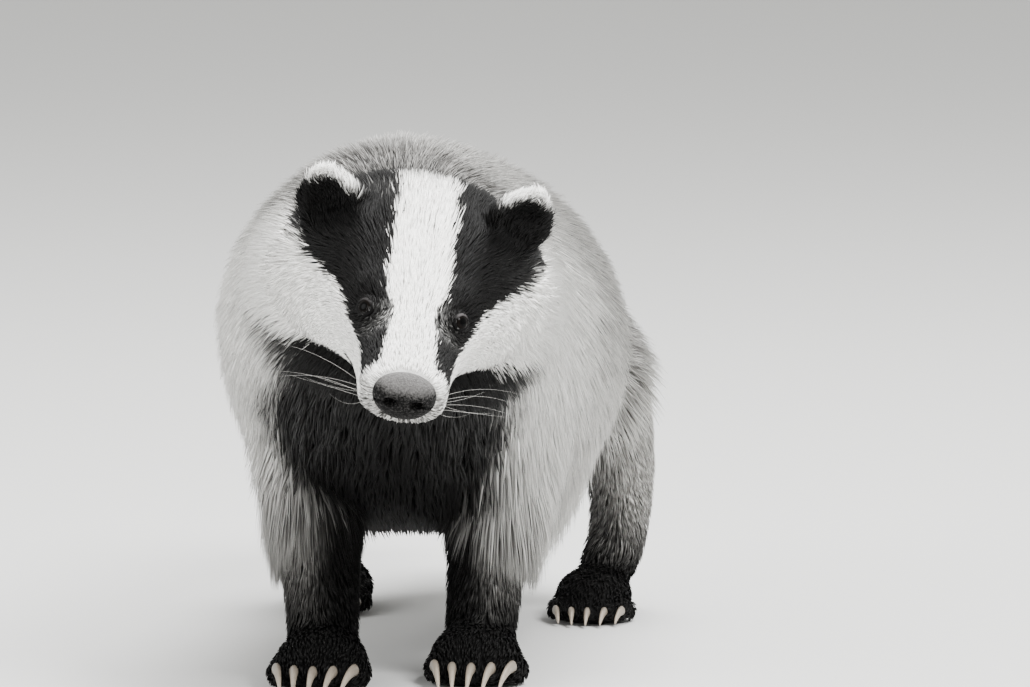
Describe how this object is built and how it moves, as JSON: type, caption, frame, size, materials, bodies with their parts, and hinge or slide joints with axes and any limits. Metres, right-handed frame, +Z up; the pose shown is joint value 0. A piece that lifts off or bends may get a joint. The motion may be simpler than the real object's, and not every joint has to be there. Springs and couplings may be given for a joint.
{
  "type": "european badger",
  "caption": "Still life-size european badger standing on all fours, head low, black and white striped face, grizzled grey coat, black legs with long claws",
  "frame": {"origin": "on the floor under the middle of the bounding box, between the four paws", "axes": "+Z up, the animal faces -Y, its left side is +X"},
  "size_m": [0.2258, 0.7844, 0.3022],
  "materials": {
    "face": "short dense white coat with two black bands, matt",
    "nose": "moist grained dark grey nose pad, soft gloss",
    "black_coat": "short black coat, slight sheen",
    "grey_coat": "long bristly guard hair, pale at the root, dark below a pale tip",
    "eye": "near-black glass eye, high gloss",
    "claw": "grey-brown horn, satin"
  },
  "bodies": {
    "root": {"head": "face", "jaw": "face", "nose": "nose", "ear_left": "black_coat", "ear_right": "black_coat", "eye_left": "eye", "eye_right": "eye", "neck": "grey_coat", "torso": "grey_coat", "tail": "grey_coat", "foreleg_left": "black_coat", "forepaw_left": "black_coat", "foreleg_right": "black_coat", "forepaw_right": "black_coat", "hindleg_left": "black_coat", "hindpaw_left": "black_coat", "hindleg_right": "black_coat", "hindpaw_right": "black_coat", "claw_fore_left_1": "claw", "claw_fore_left_2": "claw", "claw_fore_left_3": "claw", "claw_fore_left_4": "claw", "claw_fore_left_5": "claw", "claw_fore_right_1": "claw", "claw_fore_right_2": "claw", "claw_fore_right_3": "claw", "claw_fore_right_4": "claw", "claw_fore_right_5": "claw", "claw_hind_left_1": "claw", "claw_hind_left_2": "claw", "claw_hind_left_3": "claw", "claw_hind_left_4": "claw", "claw_hind_left_5": "claw", "claw_hind_right_1": "claw", "claw_hind_right_2": "claw", "claw_hind_right_3": "claw", "claw_hind_right_4": "claw", "claw_hind_right_5": "claw"}
  },
  "joints": []
}
